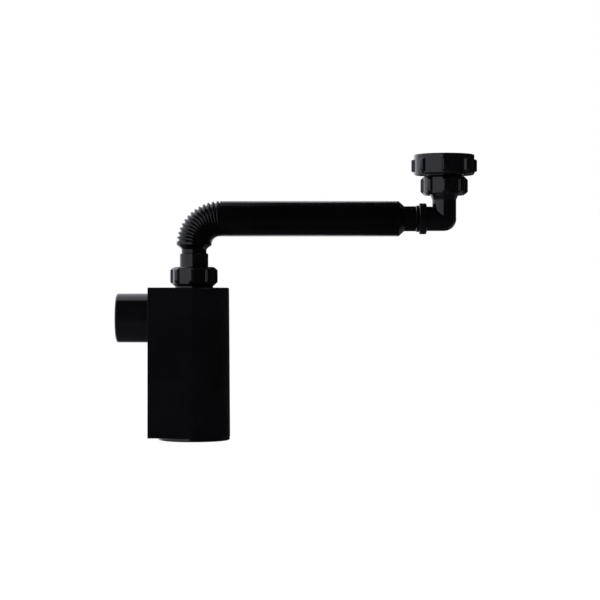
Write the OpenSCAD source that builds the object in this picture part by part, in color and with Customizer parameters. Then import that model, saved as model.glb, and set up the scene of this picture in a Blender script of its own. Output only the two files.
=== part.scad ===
// Space-saving wash-basin trap with a corrugated, bendable arm.
//
// Frame: X = 0 is the flat back of the housing, and the outlet spigot runs towards -X along the X axis.
// +X points into the room, +Z is up, and the whole trap is symmetric about Y = 0. Millimetres.

/* [Housing] */
// Radius of the round front, which is also half the housing's width
housing_r = 36.2; // [34:0.1:40]
// Distance from the flat back to the axis of the round front, the neck and the cap
front_x = 44.4; // [40:0.1:52]
// Height of the housing's top face above the outlet axis
housing_top = 30.8; // [28:0.1:40]
// Depth of the housing's floor below the outlet axis
housing_depth = 119.8; // [105:0.1:150]
// Wall thickness of the housing
wall = 2.6; // [2:0.1:3.4]
// How much each side leans outwards from top to bottom
draft = 1.0; // [0:0.1:2]
// Rounding of the top edge
top_round = 1.4; // [0.8:0.1:3]

/* [Outlet] */
// Outer diameter of the outlet spigot
outlet_d = 50; // [50:1:50]
// Length of the spigot behind the flat back
outlet_len = 34; // [25:1:60]
// Wall thickness of the spigot
outlet_wall = 2.2; // [1.8:0.1:3]
// Bevel on the spigot's open end
outlet_bevel = 1.2; // [0.5:0.1:2]

/* [Water seal] */
// Outer diameter of the dip tube
dip_d = 34; // [33:0.5:36]
// Wall thickness of the dip tube
dip_wall = 2; // [1.5:0.1:2.2]
// Depth of the dip tube's open end below the outlet's lowest point
water_seal = 52; // [50:1:60]

/* [Compression joints] */
// Outer diameter of the plain pipe ends that go into the joints
pipe_d = 29; // [29:1:29]
// Outer diameter of the male threads
neck_d = 38; // [38:0.1:38.4]
// Thread pitch of the two compression nuts
nut_pitch = 2.5; // [2:0.1:3]
// Height of a compression nut
nut_h = 19.5; // [19:0.1:20]
// Diameter of a compression nut between its ribs
nut_d = 43.6; // [43:0.1:45]
// Diameter of a compression nut over its ribs
nut_rib_d = 48; // [47:0.1:50]
// Number of grip ribs on every nut
rib_count = 8; // [6:1:12]
// Width of a grip rib
rib_w = 5; // [3:0.1:6]

/* [Hose] */
// Outer diameter over the corrugations
hose_d = 35.8; // [34:0.1:36]
// Depth of the corrugations
hose_groove = 1.6; // [1.2:0.1:2.4]
// Wall left under the corrugations
hose_wall = 0.9; // [0.8:0.1:1.2]
// Radius of the hose axis in the bend
bend_r = 26.4; // [24:0.1:40]
// Number of corrugations round the bend
bend_ridges = 14; // [12:1:18]
// Length of the straight stretch
run_len = 181.4; // [120:0.1:240]
// Number of corrugations on the straight stretch
run_ridges = 63; // [40:1:80]
// How many of those follow straight after the bend and flex with it
lead_ridges = 12; // [8:1:16]
// Height of the hose's first corrugation above the outlet axis
bend_base = 74.4; // [72:0.1:80]
// Outer diameter of the smooth ends of the hose
cuff_d = 25.4; // [25:0.1:25.4]

/* [Elbow] */
// Length from the hose's last corrugation to the elbow's upright axis
elbow_reach = 46.3; // [44:0.1:60]
// Outer diameter of the elbow's level leg
elbow_d = 24.8; // [24.4:0.1:25]
// Outer diameter of the elbow's upright leg
upright_d = 24.4; // [24:0.1:24.8]

/* [Union nut] */
// Height of the union nut
union_h = 20.4; // [20:0.1:24]
// Diameter of the union nut between its ribs
union_d = 61; // [58:0.1:64]
// Diameter of the union nut over its ribs
union_rib_d = 66.6; // [63:0.1:70]
// Smallest diameter inside the union nut's thread
union_bore = 45; // [45:0.1:45.2]
// Outer diameter of the thread that the union nut takes
union_thread_d = 47.8; // [47.8:0.1:47.8]
// Thread pitch of the union nut, eleven turns to the inch
union_pitch = 2.309; // [2.309:0.001:2.309]

/* [Cleaning cap] */
// Diameter of the cap's rim
cap_d = 72.8; // [70:0.1:73]
// Thickness of the rim under the housing
cap_rim = 3.5; // [3:0.1:6]
// Thread pitch of the cap
cap_pitch = 3; // [2.5:0.1:4]
// Outer diameter of the cap's thread
cap_thread_d = 64.8; // [64:0.1:65]

/* [Hidden] */
$fn = 96;
// One of these names draws that piece alone

black = [0.045, 0.047, 0.052];
satin_black = [0.07, 0.07, 0.075];
rubber = [0.16, 0.16, 0.17];
polyethylene = [0.78, 0.78, 0.74];

// Clearances: free is between pieces that pass each other, snug is between pieces that guide each other
free = 0.3;
snug = 0.06;
eps = 0.01;

// Housing
housing_bottom = -housing_depth;
outlet_r = outlet_d / 2;
outlet_bore_r = outlet_r - outlet_wall;
boss_r = 19.5;
boss_h = 1.4;
neck_base = housing_top + boss_h;
neck_len = 12.2;
neck_top = neck_base + neck_len;
neck_r = neck_d / 2;
neck_core = neck_r - 1.2;
neck_bore = pipe_d / 2 + 0.3;
seat_h = 2.4;
socket_depth = 9;
dip_r = dip_d / 2;
dip_end = -outlet_bore_r - water_seal;

// Cleaning cap and the threaded mouth that takes it
cap_r = cap_d / 2;
cap_thread_r = cap_thread_d / 2;
cap_core_r = cap_thread_r - 1.2;
cap_top = housing_bottom - free;
cap_bottom = cap_top - cap_rim;
cap_skirt = 14;
mouth_r = cap_thread_r + 0.2;
mouth_len = 13;
mouth_groove = 1;
mouth_wall = 2.4;
seal_pocket_r = cap_thread_r + 1.1;
seal_pocket_h = 3;
grip_r = 26;
grip_depth = 9;

// Compression joint, measured upwards from the open end of its nut
joint_bore = neck_r + 0.2;
shoulder_t = 2.5;
shoulder_bore = pipe_d / 2 + 0.4;
cone_r = neck_core - 0.2;
ring_t = 1.2;
ring_gap = 0.1;
trap_nut_z = neck_base + ring_gap;
trap_ring_z = trap_nut_z + nut_h - shoulder_t - ring_gap - ring_t;
trap_seal_z = neck_top - seat_h + ring_gap;
cone_h = trap_ring_z - ring_gap - trap_seal_z;

// Hose
hose_r = hose_d / 2;
root_r = hose_r - hose_groove;
// Shares of the pitch at which a corrugation leaves its groove and reaches its crest
groove_edge = 0.06;
crest_edge = 0.17;
hose_bore = root_r - hose_wall;
bend_top = bend_base + bend_r;
run_x = front_x + bend_r;
run_pitch = run_len / run_ridges;
run_end = run_x + run_len;
lead_end = run_x + lead_ridges * run_pitch;
cuff_r = cuff_d / 2;
cuff_bore = cuff_r - 1.3;
cone_len = 4.4;
tail_top = 65.5;
tail_bottom = 18;
cuff_depth = 20;

// Elbow and its swivel
elbow_x = run_end + elbow_reach;
elbow_z = bend_top;
elbow_r = elbow_d / 2;
upright_r = upright_d / 2;
spigot_r = cuff_bore - 0.2;
spigot_bore = spigot_r - 2.2;
seal_groove = 1.3;
seal_groove_w = 2;
lock_x = run_end + 20.8;
lock_len = 7.4;
lock_r = 15.7;
bead_r = 14;
bead_w = 1.5;
swivel_gap = lock_x + 3.3;
ring_groove_x = run_end + 12;
flare_z = elbow_z + 19.1;
head_z = elbow_z + 23.7;

// Inlet, measured from the small nut's lower face
inlet_nut_z = head_z + free;
inlet_ring_z = inlet_nut_z + shoulder_t + ring_gap;
inlet_seal_z = inlet_ring_z + ring_t + ring_gap;
inlet_seat_z = inlet_seal_z + cone_h - seat_h + ring_gap;
inlet_pipe_top = head_z + 23.5;
union_z = inlet_nut_z + nut_h + 1;
union_shoulder = 3;
flange_z = union_z + union_shoulder + free;
flange_t = 4;
flange_r = union_bore / 2 - free;
gasket_z = flange_z + flange_t + ring_gap;
gasket_t = 2;
union_groove = (union_thread_d - union_bore) / 2;
union_relief_r = union_bore / 2 + 0.9;
union_thread_z = 10;
union_rib_low = 2.9;
union_rib_top = 15.6;

// Points on an arc
function arc(x, y, r, from, to, steps) =
  [for (i = [0:steps]) let (a = from + (to - from) * i / steps) [x + r * cos(a), y + r * sin(a)]];

// Outline of a thread: trapezoid turns from radius a to radius b, going up from z
function turns(a, b, z, pitch, count) = [
  for (i = [0:count - 1]) each [
    [a, z + (i + 0.1) * pitch],
    [b, z + (i + 0.38) * pitch],
    [b, z + (i + 0.56) * pitch],
    [a, z + (i + 0.84) * pitch]
  ]
];

// Outline of the corrugations: flat crests with narrow grooves, going up from z
function ridges(z, pitch, count) = [
  for (i = [0:count - 1]) each [
    [root_r, z + (i + groove_edge) * pitch],
    [hose_r, z + (i + crest_edge) * pitch],
    [hose_r, z + (i + 1 - crest_edge) * pitch],
    [root_r, z + (i + 1 - groove_edge) * pitch]
  ]
];

module on_front_axis() translate([front_x, 0, 0]) children();
module on_inlet_axis() translate([elbow_x, 0, 0]) children();
// Turns a shape drawn along +Z so that it runs along +X at the height of the hose
module along_arm() translate([0, 0, elbow_z]) rotate([0, 90, 0]) children();
module revolve(points) rotate_extrude() polygon(points);
module tube(r, bore, z0, z1) revolve([[bore, z0], [r, z0], [r, z1], [bore, z1]]);

// ---------------------------------------------------------------- housing

// Half the housing's width at height z
function half_width(z) =
  housing_r + draft * ((housing_top + housing_bottom) / 2 - z) / (housing_top - housing_bottom);

// One side of the upright cross-section: straight leaning wall and a rounded top edge
function side(inset, z0, z1, round) = concat(
  [[half_width(z0) - inset, z0]],
  arc(half_width(z1) - inset - round, z1 - round, round, 0, 90, 6)
);

// D-shaped block: flat sides from the back to the front axis, then half a turn of the same section
module d_block(inset, z0, z1, round, back) {
  points = side(inset, z0, z1, round);
  last = len(points) - 1;
  on_front_axis() rotate_extrude(angle = 180, start = -90)
    polygon(concat([[0, z0]], points, [[0, z1]]));
  translate([back, 0, 0]) rotate([90, 0, 90]) linear_extrude(front_x - back)
    polygon(concat(points, [for (i = [last:-1:0]) [-points[i][0], points[i][1]]]));
}

module spigot() rotate([0, -90, 0])
  revolve([
    [outlet_bore_r, -wall], [outlet_r, -wall], [outlet_r, outlet_len - outlet_bevel],
    [outlet_r - outlet_bevel, outlet_len], [outlet_bore_r, outlet_len]
  ]);

// Threaded neck with the bevelled seat for the cone seal
module neck() on_front_axis() revolve(concat(
  [[neck_bore, housing_top - wall], [boss_r, housing_top - wall],
   [boss_r, neck_base], [neck_core, neck_base]],
  turns(neck_core, neck_r, neck_base + 0.6, nut_pitch, 4),
  [[neck_core, neck_top], [neck_core - 0.2, neck_top], [neck_bore, neck_top - seat_h]]
));

module dip_socket() on_front_axis()
  tube(dip_r + wall, dip_r + snug, housing_top - wall - socket_depth, housing_top - wall + eps);

module trap_body() color(black) {
  difference() {
    union() {
      difference() {
        d_block(0, housing_bottom, housing_top, top_round, 0);
        d_block(wall, housing_bottom + wall, housing_top - wall, top_round, wall);
      }
      dip_socket();
      on_front_axis()
        tube(mouth_r + mouth_wall, mouth_r - 1, housing_bottom + eps, housing_bottom + mouth_len);
    }
    // Threaded mouth for the cleaning cap, with a pocket for its seal
    on_front_axis() revolve(concat(
      [[0, housing_bottom - 1], [seal_pocket_r, housing_bottom - 1],
       [seal_pocket_r, housing_bottom + seal_pocket_h], [mouth_r, housing_bottom + seal_pocket_h + 0.4]],
      turns(mouth_r, mouth_r + mouth_groove, housing_bottom + seal_pocket_h + 0.6, cap_pitch, 3),
      [[mouth_r, housing_bottom + mouth_len + 1], [0, housing_bottom + mouth_len + 1]]
    ));
    on_front_axis() translate([0, 0, housing_top - wall - 1]) cylinder(r = neck_bore, h = wall + 2);
    translate([-1, 0, 0]) rotate([0, 90, 0]) cylinder(r = outlet_bore_r, h = wall + 2);
  }
  neck();
  spigot();
}

module dip_tube() color(satin_black) on_front_axis()
  tube(dip_r, dip_r - dip_wall, dip_end, housing_top - wall - ring_gap);

// ---------------------------------------------------------------- cleaning cap

module cleaning_cap() color(black) on_front_axis() {
  inside = cap_core_r - 2.6;
  floor_z = cap_bottom + grip_depth;
  difference() {
    revolve(concat(
      [[0, cap_bottom], [cap_r - 1, cap_bottom], [cap_r - 0.3, cap_bottom + 0.3], [cap_r, cap_bottom + 1],
       [cap_r, cap_top - 0.4], [cap_r - 0.4, cap_top], [cap_core_r, cap_top]],
      turns(cap_core_r, cap_thread_r, housing_bottom + seal_pocket_h + 0.9, cap_pitch, 3),
      [[cap_core_r, cap_top + cap_skirt], [inside, cap_top + cap_skirt], [inside, floor_z + wall],
       [0, floor_z + wall]]
    ));
    // Round recess underneath, crossed by a bar to grip
    difference() {
      translate([0, 0, cap_bottom - 1]) cylinder(r = grip_r, h = grip_depth + 1);
      translate([-grip_r - 1, -3, cap_bottom + 0.6]) cube([2 * grip_r + 2, 6, grip_depth]);
    }
  }
}

// Ring of round section that seals the cap in its pocket
module cap_seal() color(rubber) on_front_axis() {
  section = (seal_pocket_r - cap_core_r) / 2 - 0.1;
  rotate_extrude()
    translate([(seal_pocket_r + cap_core_r) / 2, housing_bottom + section + 0.05])
      circle(r = section, $fn = 32);
}

// ---------------------------------------------------------------- compression joints

// Ribbed nut, drawn with its open end at z = 0 and its shoulder on top. One bevel [depth, height] at
// each end cuts the ribs and the nut between them alike.
module ribbed_nut(h, r, rib_r, low_bevel, top_bevel) {
  function rise(bevel) = bevel[1] * (1 - (rib_r - r) / bevel[0]);
  core = rib_r - low_bevel[0] - 1;
  revolve([
    [0, 0], [rib_r - low_bevel[0], 0], [r, rise(low_bevel)], [r, h - rise(top_bevel)],
    [rib_r - top_bevel[0], h], [0, h]
  ]);
  for (i = [0:rib_count - 1])
    rotate([90, 0, 360 / rib_count * i]) linear_extrude(rib_w, center = true) polygon([
      [core, 0], [rib_r - low_bevel[0], 0], [rib_r, low_bevel[1]],
      [rib_r, h - top_bevel[1]], [rib_r - top_bevel[0], h], [core, h]
    ]);
}

module compression_nut() difference() {
  ribbed_nut(nut_h, nut_d / 2, nut_rib_d / 2, [4.4, 4.8], [4.2, 4]);
  revolve(concat(
    [[0, -1], [joint_bore, -1]],
    turns(joint_bore, joint_bore + 1, 0.6, nut_pitch, 4),
    [[joint_bore, nut_h - shoulder_t - 5], [cone_r + 0.4, nut_h - shoulder_t - 4],
     [cone_r + 0.4, nut_h - shoulder_t], [shoulder_bore, nut_h - shoulder_t], [shoulder_bore, nut_h + 1],
     [0, nut_h + 1]]
  ));
}

// Thrust ring between the nut's shoulder and the seal, drawn upwards from z = 0
module slip_ring() tube(cone_r, pipe_d / 2 + 0.2, 0, ring_t);

// Seal with a bevelled lower edge, drawn upwards from z = 0
module cone_seal() revolve([
  [pipe_d / 2 + snug, 0], [neck_bore, 0], [cone_r, seat_h], [cone_r, cone_h],
  [pipe_d / 2 + snug, cone_h]
]);

module trap_nut() color(black) on_front_axis() translate([0, 0, trap_nut_z]) compression_nut();
module trap_slip_ring() color(polyethylene) on_front_axis() translate([0, 0, trap_ring_z]) slip_ring();
module trap_cone_seal() color(rubber) on_front_axis() translate([0, 0, trap_seal_z]) cone_seal();

// ---------------------------------------------------------------- hose

module tail_piece() color(black) on_front_axis() {
  r = pipe_d / 2;
  revolve([
    [r - 2.3, tail_bottom], [r - 0.8, tail_bottom], [r, tail_bottom + 1.6], [r, tail_top - 0.8],
    [r - 0.3, tail_top - 0.2], [r - 0.9, tail_top], [cuff_r + snug, tail_top],
    [cuff_r + snug, tail_top - cuff_depth], [r - 2.3, tail_top - cuff_depth - 0.6]
  ]);
}

module lower_cuff() color(black) on_front_axis() revolve([
  [cuff_bore, tail_top - cuff_depth + 0.4], [cuff_r, tail_top - cuff_depth + 0.4],
  [cuff_r, bend_base - cone_len], [hose_r, bend_base],
  [hose_bore, bend_base], [cuff_bore, bend_base - cone_len]
]);

// A ring-shaped piece of the bend, from angle a to angle b of its quarter turn
module bend_sector(r, bore, a, b) translate([run_x, 0, bend_base]) rotate([90, 0, 0])
  rotate_extrude(start = 180 - b, angle = b - a) translate([bend_r, 0]) difference() {
    circle(r);
    circle(bore);
  }

module hose_bend() color(black) {
  step = 90 / bend_ridges;
  bend_sector(root_r, hose_bore, 0, 90);
  for (i = [0:bend_ridges - 1])
    bend_sector(hose_r, root_r - hose_wall / 2, (i + crest_edge) * step, (i + 1 - crest_edge) * step);
  along_arm() revolve(concat(
    [[hose_bore, run_x], [root_r, run_x]], ridges(run_x, run_pitch, lead_ridges),
    [[root_r, lead_end], [hose_bore, lead_end]]
  ));
}

module hose_run() color(black) along_arm() revolve(concat(
  [[hose_bore, lead_end + ring_gap], [root_r, lead_end + ring_gap]],
  ridges(lead_end, run_pitch, run_ridges - lead_ridges),
  [[root_r, run_end - ring_gap], [hose_bore, run_end - ring_gap]]
));

// Cone, smooth sleeve and the bead that the lock ring holds
module upper_cuff() color(black) along_arm() revolve([
  [hose_bore, run_end], [hose_r, run_end], [cuff_r, run_end + 5.6], [cuff_r, lock_x - 3.4],
  [cuff_r + 0.7, lock_x - 2.9], [cuff_r + 0.7, lock_x - free], [cuff_r, lock_x - free],
  [cuff_r, swivel_gap - bead_w], [bead_r, swivel_gap - bead_w], [bead_r, swivel_gap],
  [cuff_bore, swivel_gap], [cuff_bore, run_end + 6.4]
]);

// ---------------------------------------------------------------- elbow

// Collar that holds the beads of the hose and the elbow together and lets them turn
module lock_ring() color(satin_black) along_arm() {
  far = swivel_gap + free + bead_w;
  revolve([
    [cuff_r + 0.1, lock_x], [lock_r - 0.5, lock_x], [lock_r, lock_x + 0.5],
    [lock_r, lock_x + lock_len - 0.9], [lock_r - 0.9, lock_x + lock_len], [elbow_r + free, lock_x + lock_len],
    [elbow_r + free, far + free], [bead_r + free, far + free],
    [bead_r + free, swivel_gap - bead_w - ring_gap],
    [cuff_r + 0.1, swivel_gap - bead_w - ring_gap]
  ]);
}

module elbow() color(black) {
  near = swivel_gap + free;
  groove_from = ring_groove_x - seal_groove_w / 2;
  groove_to = ring_groove_x + seal_groove_w / 2;
  difference() {
    union() {
      along_arm() revolve([
        [0, ring_groove_x - 6], [spigot_r - 0.8, ring_groove_x - 6], [spigot_r, ring_groove_x - 4.6],
        [spigot_r, groove_from], [spigot_r - seal_groove, groove_from],
        [spigot_r - seal_groove, groove_to], [spigot_r, groove_to],
        [spigot_r, near], [bead_r, near], [bead_r, near + bead_w], [elbow_r, near + bead_w],
        [elbow_r, elbow_x], [0, elbow_x]
      ]);
      translate([elbow_x, 0, elbow_z]) sphere(r = (elbow_r + upright_r) / 2);
      on_inlet_axis() revolve([
        [0, elbow_z], [upright_r, elbow_z], [upright_r, flare_z], [pipe_d / 2 - 0.4, head_z],
        [pipe_d / 2, head_z + 1.4], [pipe_d / 2, inlet_pipe_top - 1.4], [pipe_d / 2 - 0.7, inlet_pipe_top],
        [0, inlet_pipe_top]
      ]);
    }
    along_arm() revolve([
      [0, ring_groove_x - 7], [spigot_bore, ring_groove_x - 7], [spigot_bore, near],
      [elbow_r - 1.7, near + 2], [elbow_r - 1.7, elbow_x], [0, elbow_x]
    ]);
    translate([elbow_x, 0, elbow_z]) sphere(r = upright_r - 1.6);
    on_inlet_axis() revolve([
      [0, elbow_z], [upright_r - 1.7, elbow_z], [upright_r - 1.7, flare_z], [pipe_d / 2 - 1.9, head_z + 1.4],
      [pipe_d / 2 - 1.9, inlet_pipe_top + 1], [0, inlet_pipe_top + 1]
    ]);
  }
}

// Ring of round section in the groove of the elbow's spigot
module elbow_seal() color(rubber) along_arm() rotate_extrude()
  translate([(spigot_r - seal_groove + cuff_bore) / 2, ring_groove_x]) circle(r = seal_groove / 2, $fn = 32);

// ---------------------------------------------------------------- inlet

module inlet_nut() color(black) on_inlet_axis()
  translate([0, 0, inlet_nut_z + nut_h]) mirror([0, 0, 1]) compression_nut();

module inlet_slip_ring() color(polyethylene) on_inlet_axis() translate([0, 0, inlet_ring_z]) slip_ring();
module inlet_cone_seal() color(rubber) on_inlet_axis()
  translate([0, 0, inlet_seal_z + cone_h]) mirror([0, 0, 1]) cone_seal();

// Threaded neck below, flange on top for the union nut to pull up
module adapter() color(black) on_inlet_axis() revolve(concat(
  [[neck_bore, inlet_seat_z + seat_h], [neck_core - 0.2, inlet_seat_z], [neck_core, inlet_seat_z]],
  turns(neck_core, neck_r, inlet_seat_z + 0.6, nut_pitch, 4),
  [[neck_core, flange_z - 1], [neck_core + 1, flange_z], [flange_r, flange_z],
   [flange_r, flange_z + flange_t - 0.4],
   [flange_r - 0.4, flange_z + flange_t], [neck_bore + 3, flange_z + flange_t],
   [neck_bore, flange_z + flange_t - 3]]
));

module inlet_gasket() color(rubber) on_inlet_axis()
  tube(flange_r, neck_bore + 3.2, gasket_z, gasket_z + gasket_t);

module union_nut() color(black) on_inlet_axis() translate([0, 0, union_z]) {
  r = union_d / 2;
  rib_r = union_rib_d / 2;
  difference() {
    union() {
      revolve([[0, 0], [r - 1.2, 0], [r, 2.2], [r, union_h - 0.5], [r - 0.5, union_h], [0, union_h]]);
      for (i = [0:rib_count - 1])
        rotate([90, 0, 360 / rib_count * i]) linear_extrude(rib_w, center = true) polygon([
          [r - 3, union_rib_low], [rib_r - 0.4, union_rib_low], [rib_r, union_rib_low + 0.5],
          [rib_r, union_rib_top - 1], [rib_r - 1, union_rib_top], [r - 3, union_rib_top]
        ]);
    }
    revolve(concat(
      [[0, -1], [neck_r + 0.4, -1], [neck_r + 0.4, union_shoulder], [union_relief_r, union_shoulder],
       [union_relief_r, union_thread_z - 0.6], [union_bore / 2, union_thread_z]],
      turns(union_bore / 2, union_bore / 2 + union_groove, union_thread_z + 0.8, union_pitch, 3),
      [[union_bore / 2, union_h - 1.4], [union_bore / 2 + 2.4, union_h + 1], [0, union_h + 1]]
    ));
  }
}

trap_body();
dip_tube();
cleaning_cap();
cap_seal();
trap_cone_seal();
trap_slip_ring();
trap_nut();
tail_piece();
lower_cuff();
hose_bend();
hose_run();
upper_cuff();
lock_ring();
elbow();
elbow_seal();
inlet_cone_seal();
inlet_slip_ring();
inlet_nut();
adapter();
inlet_gasket();
union_nut();
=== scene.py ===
import math

import bmesh
import bpy
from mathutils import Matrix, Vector


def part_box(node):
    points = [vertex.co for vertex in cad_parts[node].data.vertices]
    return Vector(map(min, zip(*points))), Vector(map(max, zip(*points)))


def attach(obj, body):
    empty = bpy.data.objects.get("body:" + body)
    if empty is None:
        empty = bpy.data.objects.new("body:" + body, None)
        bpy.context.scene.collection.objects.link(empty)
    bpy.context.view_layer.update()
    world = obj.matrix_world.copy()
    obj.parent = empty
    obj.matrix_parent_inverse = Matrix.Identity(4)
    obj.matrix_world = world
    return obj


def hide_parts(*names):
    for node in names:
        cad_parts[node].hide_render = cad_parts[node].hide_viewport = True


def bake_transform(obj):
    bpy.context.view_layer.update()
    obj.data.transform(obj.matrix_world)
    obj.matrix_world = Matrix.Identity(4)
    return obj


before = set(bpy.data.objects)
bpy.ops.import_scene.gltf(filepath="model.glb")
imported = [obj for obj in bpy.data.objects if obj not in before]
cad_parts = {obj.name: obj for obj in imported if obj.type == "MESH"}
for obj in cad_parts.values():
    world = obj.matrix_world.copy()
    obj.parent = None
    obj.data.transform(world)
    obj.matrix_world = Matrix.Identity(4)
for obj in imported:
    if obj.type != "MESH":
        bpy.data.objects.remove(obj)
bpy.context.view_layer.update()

scene = bpy.context.scene
MM = 0.001

# ------------------------------------------------------------------ camera
CAMERA_TARGET = Vector((0.1521, 0.0, 0.0183))
CAMERA_DISTANCE = 1.93

cam_data = bpy.data.cameras.new("camera")
cam_data.sensor_width = 36.0
cam_data.lens = 114.0
cam_data.clip_start = 0.05
cam_data.clip_end = 60.0
cam = bpy.data.objects.new("camera", cam_data)
cam.location = CAMERA_TARGET + Vector((0.0, -CAMERA_DISTANCE, 0.0))
cam.rotation_mode = "QUATERNION"
cam.rotation_quaternion = Vector((0.0, 1.0, 0.0)).to_track_quat("-Z", "Y")
scene.collection.objects.link(cam)
scene.camera = cam
scene.view_settings.view_transform = "Standard"


# ------------------------------------------------------------------ node helpers
def new_material(name):
    mat = bpy.data.materials.new(name)
    mat.use_nodes = True
    tree = mat.node_tree
    tree.nodes.clear()
    return mat, tree


def add(tree, kind, **settings):
    node = tree.nodes.new(kind)
    for key, value in settings.items():
        setattr(node, key, value)
    return node


def math_node(tree, op, a, b=None, clamp=False):
    """Math node whose inputs are sockets or numbers."""
    node = add(tree, "ShaderNodeMath", operation=op, use_clamp=clamp)
    for i, value in enumerate((a, b)):
        if value is None:
            continue
        if isinstance(value, (int, float)):
            node.inputs[i].default_value = value
        else:
            tree.links.new(value, node.inputs[i])
    return node.outputs[0]


def step_node(tree, value, low, high):
    """Smooth step of a socket: 0 at low, 1 at high."""
    node = add(tree, "ShaderNodeMapRange", interpolation_type="SMOOTHSTEP")
    tree.links.new(value, node.inputs["Value"])
    node.inputs["From Min"].default_value = low
    node.inputs["From Max"].default_value = high
    return node.outputs["Result"]


# ------------------------------------------------------------------ light
# Strengths of the parts of the room that the gloss reflects
WALL_LEFT = 0.78
WALL_BACK = 1.4
ROOF = 1.1
FILL_RIGHT = 0.3
FLOOR_BOUNCE = 0.2
FLOOR_LEFT = 0.08
FLOOR_BASE = 0.035
FRONT = 0.022
AMBIENT = 0.02
LIGHT_TINT = (0.96, 0.975, 1.08, 1.0)


def make_world():
    """White backdrop for the camera; for reflections a room that is bright on the left and behind."""
    world = bpy.data.worlds.new("studio")
    world.use_nodes = True
    scene.world = world
    tree = world.node_tree
    tree.nodes.clear()

    def step(value, low, high):
        return step_node(tree, value, low, high)

    def times(a, b):
        return math_node(tree, "MULTIPLY", a, b)

    def plus(a, b):
        return math_node(tree, "ADD", a, b)

    def brighter(a, b):
        return math_node(tree, "MAXIMUM", a, b)

    coord = add(tree, "ShaderNodeTexCoord")
    xyz = add(tree, "ShaderNodeSeparateXYZ")
    tree.links.new(coord.outputs["Generated"], xyz.inputs[0])
    x, y, z = xyz.outputs
    leftward = times(x, -1.0)
    downward = times(z, -1.0)

    # Wall from about 11 degrees left of the camera round to the back, brightest there, in a level band
    left = step(leftward, 0.155, 0.225)
    behind = times(step(y, 0.1, 0.8), step(leftward, 0.02, 0.12))
    band = times(step(z, -0.54, -0.4), math_node(tree, "SUBTRACT", 1.0, step(z, 0.55, 0.75)))
    wall = times(brighter(times(left, WALL_LEFT), times(behind, WALL_BACK)), band)
    # Roof over the back half, on the left only
    roof = times(times(step(y, -0.03, 0.1), step(z, 0.15, 0.45)), step(leftward, 0.01, 0.09))
    # Dim fill high on the right
    fill = times(step(x, 0.1, 0.5), step(z, 0.55, 0.7))
    # The front is a little lighter beside the camera, on the left
    front = times(step(leftward, 0.0, 0.07), FRONT)
    # Floor, mostly from the left, and the light that comes up off it at the back on both sides
    floor = times(step(downward, 0.0, 0.3), plus(times(step(leftward, -0.05, 0.2), FLOOR_LEFT), FLOOR_BASE))
    sideways = step(math_node(tree, "ABSOLUTE", x), 0.22, 0.5)
    bounce = times(times(sideways, step(downward, 0.14, 0.3)), step(y, 0.1, 0.5))

    level = plus(plus(wall, front), AMBIENT)
    for other in (times(roof, ROOF), times(fill, FILL_RIGHT), floor, times(bounce, FLOOR_BOUNCE)):
        level = brighter(level, other)

    light = add(tree, "ShaderNodeBackground")
    tree.links.new(level, light.inputs["Strength"])
    light.inputs["Color"].default_value = LIGHT_TINT
    backdrop = add(tree, "ShaderNodeBackground")
    backdrop.inputs["Strength"].default_value = 1.0
    backdrop.inputs["Color"].default_value = (1.0, 1.0, 1.0, 1.0)
    path = add(tree, "ShaderNodeLightPath")
    mix = add(tree, "ShaderNodeMixShader")
    tree.links.new(path.outputs["Is Camera Ray"], mix.inputs[0])
    tree.links.new(light.outputs[0], mix.inputs[1])
    tree.links.new(backdrop.outputs[0], mix.inputs[2])
    out = add(tree, "ShaderNodeOutputWorld")
    tree.links.new(mix.outputs[0], out.inputs["Surface"])


def soft_light(name, place, aim, size, radiance):
    data = bpy.data.lights.new(name, "AREA")
    data.shape = "RECTANGLE"
    data.size, data.size_y = size
    data.energy = radiance * math.pi * size[0] * size[1]
    light = bpy.data.objects.new(name, data)
    light.location = place
    light.rotation_mode = "QUATERNION"
    light.rotation_quaternion = (Vector(aim) - Vector(place)).to_track_quat("-Z", "Y")
    light.visible_camera = False
    scene.collection.objects.link(light)


make_world()
soft_light("top_back_softbox", place=(-1.3, 1.4, 1.9), aim=(0.15, 0.0, 0.0), size=(1.4, 1.2), radiance=0.35)

# ------------------------------------------------------------------ meshes and floor
CREASE = math.radians(40)
FLOOR_X = 0.14
FLOOR_Z = -0.52
FLOOR_RINGS = (0.4, 1.0, 1.8, 2.6, 3.2)
FLOOR_SIDES = 64


def mesh_object(name, verts, faces, outward=True):
    """Object with smooth faces and sharp creases; outward turns the faces of a closed mesh outwards."""
    mesh = bpy.data.meshes.new(name)
    mesh.from_pydata([tuple(v) for v in verts], [], faces)
    mesh.validate()
    if outward:
        bm = bmesh.new()
        bm.from_mesh(mesh)
        bmesh.ops.recalc_face_normals(bm, faces=bm.faces)
        bm.to_mesh(mesh)
        bm.free()
    mesh.shade_smooth()
    mesh.set_sharp_from_angle(angle=CREASE)
    obj = bpy.data.objects.new(name, mesh)
    scene.collection.objects.link(obj)
    return obj


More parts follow.
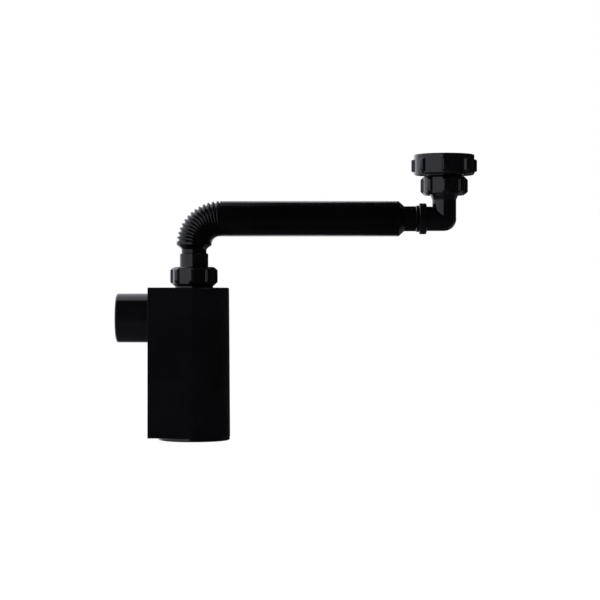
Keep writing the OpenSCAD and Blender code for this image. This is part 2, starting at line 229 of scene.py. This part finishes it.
def make_floor():
    """Pale round floor well below the trap, which hangs on its outlet and on the basin."""
    verts = [(FLOOR_X, 0.0, FLOOR_Z)]
    for k, r in enumerate(FLOOR_RINGS):
        # The outer two rings fall away a little, so that the floor has no hard rim
        drop = 0.0 if k < 3 else -0.004 * (k - 2) ** 2
        for i in range(FLOOR_SIDES):
            a = 2 * math.pi * i / FLOOR_SIDES
            verts.append((FLOOR_X + r * math.cos(a), r * math.sin(a), FLOOR_Z + drop))
    faces = []
    for i in range(FLOOR_SIDES):
        j = (i + 1) % FLOOR_SIDES
        faces.append((0, 1 + i, 1 + j))
        for k in range(len(FLOOR_RINGS) - 1):
            a = 1 + k * FLOOR_SIDES
            b = a + FLOOR_SIDES
            faces.append((a + i, b + i, b + j, a + j))
    floor = mesh_object("floor", verts, faces, outward=False)

    mat, tree = new_material("floor")
    coord = add(tree, "ShaderNodeTexCoord")
    noise = add(tree, "ShaderNodeTexNoise")
    noise.inputs["Scale"].default_value = 3.0
    tree.links.new(coord.outputs["Object"], noise.inputs["Vector"])
    tone = add(tree, "ShaderNodeValToRGB")
    tone.color_ramp.elements[0].color = (0.86, 0.86, 0.86, 1)
    tone.color_ramp.elements[1].color = (0.92, 0.92, 0.92, 1)
    tree.links.new(noise.outputs["Fac"], tone.inputs[0])
    bsdf = add(tree, "ShaderNodeBsdfPrincipled")
    tree.links.new(tone.outputs[0], bsdf.inputs["Base Color"])
    bsdf.inputs["Roughness"].default_value = 0.9
    bsdf.inputs["Emission Color"].default_value = (1, 1, 1, 1)
    bsdf.inputs["Emission Strength"].default_value = 0.75
    # Open from below, so that the underside of the trap can be looked at
    side = add(tree, "ShaderNodeNewGeometry")
    clear = add(tree, "ShaderNodeBsdfTransparent")
    one_sided = add(tree, "ShaderNodeMixShader")
    tree.links.new(side.outputs["Backfacing"], one_sided.inputs[0])
    tree.links.new(bsdf.outputs[0], one_sided.inputs[1])
    tree.links.new(clear.outputs[0], one_sided.inputs[2])
    out = add(tree, "ShaderNodeOutputMaterial")
    tree.links.new(one_sided.outputs[0], out.inputs["Surface"])
    floor.data.materials.append(mat)
    floor.visible_glossy = False


make_floor()

# ------------------------------------------------------------------ materials
# Every plastic is the same chain: slow colour and gloss drift from the moulding, a haze that makes the
# gloss uneven, a fine orange-peel surface, and faint rubbed edges.
DRIFT_SCALE = 22.0
HAZE_SCALE = 260.0
# Cosine between the true and the rounded normal where an edge starts to be rubbed, and where it is fully
RUB_FROM, RUB_FULL = 0.995, 0.80
RUB_ROUGH = 0.12
PLASTIC_IOR = 1.5


def noise_texture(tree, coord, scale, detail):
    noise = add(tree, "ShaderNodeTexNoise")
    noise.inputs["Scale"].default_value = scale
    noise.inputs["Detail"].default_value = detail
    tree.links.new(coord.outputs["Object"], noise.inputs["Vector"])
    return noise


def moulded(name, dark, light, rough, drift=0.03, peel=(900.0, 0.05, 0.05), grain=None, edge=(0.35, 0.02),
            specular=0.5):
    """Moulded plastic or rubber between two colours. peel is (scale, strength, depth in mm) of the fine
    surface, grain the scale of its pits, edge (rounding in mm, how much lighter a rubbed edge is)."""
    mat, tree = new_material(name)
    link = tree.links.new
    coord = add(tree, "ShaderNodeTexCoord")
    slow = noise_texture(tree, coord, DRIFT_SCALE, 4.0)
    haze = noise_texture(tree, coord, HAZE_SCALE, 3.0)
    haze.inputs["Roughness"].default_value = 0.65

    # Rubbed edges: where the rounded normal leaves the true one
    rounded = add(tree, "ShaderNodeBevel", samples=4)
    rounded.inputs["Radius"].default_value = edge[0] * MM
    geo = add(tree, "ShaderNodeNewGeometry")
    dot = add(tree, "ShaderNodeVectorMath", operation="DOT_PRODUCT")
    link(rounded.outputs[0], dot.inputs[0])
    link(geo.outputs["Normal"], dot.inputs[1])
    rub = step_node(tree, dot.outputs["Value"], RUB_FROM, RUB_FULL)
    rub = math_node(tree, "MULTIPLY", rub, step_node(tree, haze.outputs["Fac"], 0.35, 0.65))

    tone = add(tree, "ShaderNodeMix", data_type="RGBA")
    link(step_node(tree, slow.outputs["Fac"], 0.3, 0.7), tone.inputs["Factor"])
    tone.inputs["A"].default_value = (*dark, 1)
    tone.inputs["B"].default_value = (*light, 1)
    worn = add(tree, "ShaderNodeMix", data_type="RGBA")
    link(rub, worn.inputs["Factor"])
    link(tone.outputs["Result"], worn.inputs["A"])
    worn.inputs["B"].default_value = (*[c + edge[1] for c in light], 1)

    gloss = math_node(tree, "ADD", math_node(tree, "MULTIPLY", slow.outputs["Fac"], drift * 1.4),
                      math_node(tree, "MULTIPLY", haze.outputs["Fac"], drift))
    gloss = math_node(tree, "ADD", gloss, rough - drift * 1.2)
    gloss = math_node(tree, "ADD", gloss, math_node(tree, "MULTIPLY", rub, RUB_ROUGH), clamp=True)

    height = noise_texture(tree, coord, peel[0], 2.0).outputs["Fac"]
    if grain:
        pits = add(tree, "ShaderNodeTexVoronoi")
        pits.inputs["Scale"].default_value = grain
        link(coord.outputs["Object"], pits.inputs["Vector"])
        height = math_node(tree, "ADD", height, pits.outputs["Distance"])
    bump = add(tree, "ShaderNodeBump")
    bump.inputs["Strength"].default_value = peel[1]
    bump.inputs["Distance"].default_value = peel[2] * MM
    link(height, bump.inputs["Height"])
    link(rounded.outputs[0], bump.inputs["Normal"])

    bsdf = add(tree, "ShaderNodeBsdfPrincipled")
    link(worn.outputs["Result"], bsdf.inputs["Base Color"])
    link(gloss, bsdf.inputs["Roughness"])
    link(bump.outputs[0], bsdf.inputs["Normal"])
    bsdf.inputs["IOR"].default_value = PLASTIC_IOR
    bsdf.inputs["Specular IOR Level"].default_value = specular
    out = add(tree, "ShaderNodeOutputMaterial")
    link(bsdf.outputs[0], out.inputs["Surface"])
    return mat


FINISH = {
    "housing_black": moulded("housing_plastic", (0.0016, 0.0017, 0.0021), (0.0034, 0.0036, 0.0042), 0.10),
    "nut_black": moulded("nut_plastic", (0.0018, 0.0018, 0.0021), (0.0038, 0.0039, 0.0043), 0.13,
                         peel=(1100.0, 0.06, 0.05)),
    "fitting_black": moulded("fitting_plastic", (0.0017, 0.0018, 0.0021), (0.0036, 0.0037, 0.0042), 0.12,
                             edge=(0.15, 0.008)),
    "hose_black": moulded("hose_plastic", (0.0007, 0.0007, 0.0009), (0.0017, 0.0018, 0.0022), 0.13,
                          drift=0.04, peel=(700.0, 0.03, 0.05), edge=(0.06, 0.01), specular=0.4),
    "inner_black": moulded("inner_plastic", (0.003, 0.003, 0.0035), (0.006, 0.006, 0.0065), 0.34, drift=0.05),
    "seal_rubber": moulded("seal_rubber", (0.006, 0.006, 0.0065), (0.013, 0.013, 0.014), 0.62, drift=0.08,
                           peel=(1500.0, 0.25, 0.08), grain=2200.0, edge=(0.3, 0.03), specular=0.35),
    "ring_polyethylene": moulded("ring_polyethylene", (0.60, 0.60, 0.56), (0.72, 0.72, 0.68), 0.42,
                                 drift=0.06, peel=(800.0, 0.12, 0.06), edge=(0.3, 0.05)),
}

# Nodes that get a finer mesh below; all others keep their CAD mesh
REBUILT = ("lower_cuff", "hose_bend", "hose_run", "trap_nut", "inlet_nut", "union_nut")
for node_name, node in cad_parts.items():
    if node_name not in REBUILT:
        for slot in node.material_slots:
            slot.material = FINISH[slot.material.name.split(".")[0]]

# ------------------------------------------------------------------ hose
# Distances along the hose are counted from the foot of its bend; sizes come from the CAD nodes
axis_x = sum(corner.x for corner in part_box("tail_piece")) / 2
run_lo, run_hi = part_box("hose_run")
bend_lo, bend_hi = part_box("hose_bend")
cuff_lo, cuff_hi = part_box("lower_cuff")
ARM_Z = (run_lo.z + run_hi.z) / 2
HOSE_R = (run_hi.y - run_lo.y) / 2
BEND_BASE = bend_lo.z
BEND_R = ARM_Z - BEND_BASE
BEND_X = axis_x + BEND_R
QUARTER = math.pi / 2 * BEND_R
LEAD_END = bend_hi.x
RUN_END = run_hi.x + 0.1 * MM
ROOT_R = HOSE_R - 1.8 * MM
BORE_R = ROOT_R - 0.9 * MM
CUFF_R = 12.7 * MM
CUFF_BORE = 11.4 * MM
CUFF_FOOT = cuff_lo.z - BEND_BASE
CONE_FOOT = -4.4 * MM

BEND_RIDGES = 14
LEAD_RIDGES = 12
RUN_RIDGES = 51
LEAD_PITCH = (LEAD_END - BEND_X) / LEAD_RIDGES
RUN_START = QUARTER + LEAD_END - BEND_X
RUN_PITCH = (RUN_END - LEAD_END) / RUN_RIDGES
BORE_STEPS = 28
AROUND = 96
# On the outside of the bend the ridges keep this share of their straight width, and the grooves open
RIDGE_KEEP = 0.98


def wave(rise, crest):
    """One corrugation from groove to groove, as (share of the pitch, share of the depth)."""
    return rise + crest + [(1.0 - share, height) for share, height in rise[:0:-1]]


WAVE = wave([(0.0, 0.0), (0.03, 0.13), (0.135, 0.94), (0.16, 1.0)], [(0.34, 1.0), (0.66, 1.0)])
# Round the bend the ridges have softer shoulders, so that each one shows a narrow streak of light
BEND_RISE = [(0.0, 0.0), (0.03, 0.13), (0.12, 0.84), (0.2, 0.94), (0.28, 0.99), (0.36, 1.0)]
BEND_WAVE = wave(BEND_RISE, [(0.5, 1.0)])


def corrugation(start, pitch, count, shape=WAVE):
    """Rows (distance, radius, distance of the ridge) of count corrugations, ending in a groove."""
    rows = []
    for i in range(count):
        for share, height in shape:
            s = start + (i + share) * pitch
            ridge = start + (i + 0.5) * pitch if share else s
            rows.append((s, ROOT_R + height * (HOSE_R - ROOT_R), ridge))
    rows.append((start + count * pitch, ROOT_R, start + count * pitch))
    return rows


def place(s, r, ridge, around):
    """Point at distance s, at radius r and at the angle around the hose, 0 on the outside of the bend."""
    across, side = r * math.cos(around), r * math.sin(around)
    if s <= 0:
        return Vector((axis_x - across, side, BEND_BASE + s))
    if s >= QUARTER:
        return Vector((BEND_X + s - QUARTER, side, ARM_Z + across))
    reach = BEND_R + across
    a = (ridge + (s - ridge) * min(1.0, RIDGE_KEEP * BEND_R / reach)) / BEND_R
    return Vector((BEND_X - reach * math.cos(a), side, BEND_BASE + reach * math.sin(a)))


def ring_faces(rows, count):
    """Faces of a closed tube whose rows of count points each also close on themselves."""
    faces = []
    for k in range(rows):
        a, b = k * count, (k + 1) % rows * count
        for i in range(count):
            j = (i + 1) % count
            faces.append((a + i, a + j, b + j, b + i))
    return faces


def sweep(name, outer, inner):
    """Length of hose through the rows of outer and back through the rows of inner."""
    loop = outer + inner[::-1]
    verts = []
    for row in loop:
        s, r = row[:2]
        ridge = row[2] if len(row) > 2 else s
        verts += [place(s, r, ridge, 2 * math.pi * i / AROUND) for i in range(AROUND)]
    return mesh_object(name, verts, ring_faces(len(loop), AROUND))


# Cuff and cone, as (distance, radius); the cone ends on the crest of the first corrugation
lower_outer = [
    (CUFF_FOOT, CUFF_BORE + 0.3 * MM), (CUFF_FOOT, CUFF_R - 0.3 * MM), (CUFF_FOOT + 0.3 * MM, CUFF_R),
    (CONE_FOOT - 6 * MM, CUFF_R), (CONE_FOOT - 1.2 * MM, CUFF_R),
    (CONE_FOOT - 0.3 * MM, CUFF_R + 0.12 * MM), (CONE_FOOT + 0.5 * MM, CUFF_R + 0.7 * MM),
    (CONE_FOOT * 0.5, CUFF_R + 2.6 * MM), (CONE_FOOT * 0.22, HOSE_R - 0.75 * MM),
    (CONE_FOOT * 0.1, HOSE_R - 0.25 * MM), (0.1 * MM, HOSE_R - 0.02 * MM), (0.5 * MM, HOSE_R),
]
lower_outer += corrugation(0.0, QUARTER / BEND_RIDGES, BEND_RIDGES, BEND_WAVE)[len(BEND_RISE) + 1:-1]
lower_outer += corrugation(QUARTER, LEAD_PITCH, LEAD_RIDGES)
lower_inner = [(CUFF_FOOT, CUFF_BORE), (CONE_FOOT, CUFF_BORE), (0.0, BORE_R)]
lower_inner += [(QUARTER * i / BORE_STEPS, BORE_R) for i in range(1, BORE_STEPS + 1)]
lower_inner += [(QUARTER + LEAD_PITCH * i, BORE_R) for i in range(1, LEAD_RIDGES + 1)]
hose_lower = sweep("hose_lower", lower_outer, lower_inner)
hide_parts("lower_cuff", "hose_bend")

# The run starts and ends just clear of its neighbours
upper_outer = corrugation(RUN_START, RUN_PITCH, RUN_RIDGES)
upper_outer[0] = (RUN_START + 0.02 * MM, ROOT_R)
upper_outer[-1] = (upper_outer[-1][0] - 0.05 * MM, ROOT_R)
upper_inner = [(RUN_START + 0.02 * MM, BORE_R)]
upper_inner += [(RUN_START + RUN_PITCH * i, BORE_R) for i in range(1, RUN_RIDGES)]
upper_inner += [(upper_outer[-1][0], BORE_R)]
hose_upper = sweep("hose_upper", upper_outer, upper_inner)
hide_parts("hose_run")

for piece in (hose_lower, hose_upper):
    piece.data.materials.append(FINISH["hose_black"])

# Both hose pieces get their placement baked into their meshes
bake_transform(hose_lower)
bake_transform(hose_upper)

# ------------------------------------------------------------------ nuts, in millimetres
RIBS = 8
RIB_SHOULDER = 0.8
RIB_FOOT = 1.3
RIB_FLARE = 0.32


def ribbed_section(core, rib, half, turn):
    """One level of a ribbed nut: round between its ribs, rounded at their feet and shoulders."""
    step = max(rib - core, 0.04)
    shoulder = min(RIB_SHOULDER, 0.5 * step)
    foot = min(RIB_FOOT, 0.5 * step)
    wide = half + RIB_FLARE * step
    top = core + step
    outline = []
    for i in range(4):
        a = math.pi / RIBS - (math.pi / RIBS - math.asin((wide + foot) / core)) * i / 4
        outline.append((core * math.cos(a), core * math.sin(a)))
    base = math.sqrt(core ** 2 - wide ** 2)
    for i in range(4):
        a = math.pi / 2 * i / 3
        outline.append((base + foot * (1 - math.cos(a)), wide + foot * (1 - math.sin(a))))
    for i in range(6):
        a = math.pi / 2 * i / 5
        outline.append((top - shoulder * (1 - math.sin(a)), half - shoulder * (1 - math.cos(a))))
    outline.append((top, 0.0))
    full = outline + [(x, -y) for x, y in outline[-2:0:-1]]
    ring = []
    for k in range(RIBS):
        c = math.cos(2 * math.pi * k / RIBS + turn)
        s = math.sin(2 * math.pi * k / RIBS + turn)
        ring += [(x * c + y * s, x * s - y * c) for x, y in full]
    return ring


def eased(start, end, low, high, power, count):
    """Levels (height, radius) of a convex bevel from start at low to end at high."""
    rows = []
    for i in range(count + 1):
        left = 1 - i / count
        rows.append((low + (high - low) * (1 - left ** 1.5), start + (end - start) * (1 - left ** power)))
    return rows


def nut(name, node, levels, bore, half, turn, flipped=False):
    """Ribbed nut from levels (z, core radius, rib radius) outside and bore (z, radius) inside, with z from
    its open end, ribs 2 * half wide and turned by turn."""
    low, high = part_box(node)
    cx = (low.x + high.x) / 2
    rings = [(z, ribbed_section(core, rib, half, turn)) for z, core, rib in levels]
    angles = [math.atan2(y, x) for x, y in rings[len(rings) // 2][1]]
    rings += [(z, [(r * math.cos(a), r * math.sin(a)) for a in angles]) for z, r in bore]
    verts = []
    for z, ring in rings:
        height = high.z - z * MM if flipped else low.z + z * MM
        verts += [(cx + x * MM, y * MM, height) for x, y in ring]
    piece = mesh_object(name, verts, ring_faces(len(rings), len(angles)))
    piece.data.materials.append(FINISH["nut_black"])
    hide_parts(node)
    return piece


def thread_rows(crest, depth, start, pitch, turns):
    """Thread inside a bore, rows going down from start + turns * pitch."""
    rows = []
    for i in range(turns - 1, -1, -1):
        z = start + i * pitch
        rows += [(z + 0.84 * pitch, crest), (z + 0.58 * pitch, crest + depth),
                 (z + 0.36 * pitch, crest + depth), (z + 0.1 * pitch, crest)]
    return rows


def compression_levels():
    core_r, rib_r, height = 21.8, 24.0, 19.5
    low = eased(19.6, rib_r, 0.25, 4.3, 1.7, 9)
    top = eased(20.3, rib_r, height - 0.25, height - 3.5, 1.9, 9)
    rows = [(0.0, 19.35, 19.35)]
    rows += [(z, min(core_r, r - 0.05), r) for z, r in low + [(10.0, rib_r)] + top[::-1]]
    rows.append((height, 20.0, 20.0))
    return rows


def union_levels():
    core_r, rib_foot, rib_r = 30.5, 31.2, 33.27
    low = eased(rib_foot, rib_r, 2.9, 3.7, 2.2, 6)
    top = eased(rib_foot, rib_r, 15.6, 14.6, 2.2, 6)
    rows = [(0.0, 29.5, 29.5), (0.2, 29.75, 29.8), (0.8, 30.2, 30.25), (1.4, 30.45, 30.49),
            (2.0, core_r, 30.54)]
    rows += [(z, core_r, r) for z, r in low + top[::-1]]
    rows += [(15.8, core_r, 30.54), (19.6, core_r, 30.54), (20.1, 30.35, 30.39), (20.4, 30.0, 30.0)]
    return rows


COMPRESSION_BORE = [
    (19.5, 15.2), (19.2, 14.9), (17.0, 14.9), (17.0, 18.0), (13.0, 18.0), (12.0, 19.2),
] + thread_rows(19.2, 1.0, 0.6, 2.5, 4) + [(0.3, 19.2)]
UNION_BORE = [(20.4, 24.6), (19.0, 22.5)] + thread_rows(22.5, 1.4, 10.8, 2.309, 3) + [
    (10.0, 22.5), (9.4, 23.4), (3.0, 23.4), (3.0, 19.4), (0.3, 19.4), (0.0, 19.7),
]

trap_nut = nut("trap_nut_ribbed", "trap_nut", compression_levels(), COMPRESSION_BORE, half=2.4,
               turn=math.radians(-2.0))
inlet_nut = nut("inlet_nut_ribbed", "inlet_nut", compression_levels(), COMPRESSION_BORE, half=2.4, turn=0.0,
                flipped=True)
union_nut = nut("union_nut_ribbed", "union_nut", union_levels(), UNION_BORE, half=2.1,
                turn=math.radians(-3.0))
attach(trap_nut, "lower_nut")
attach(inlet_nut, "small_nut")
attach(union_nut, "large_nut")

bpy.context.view_layer.update()
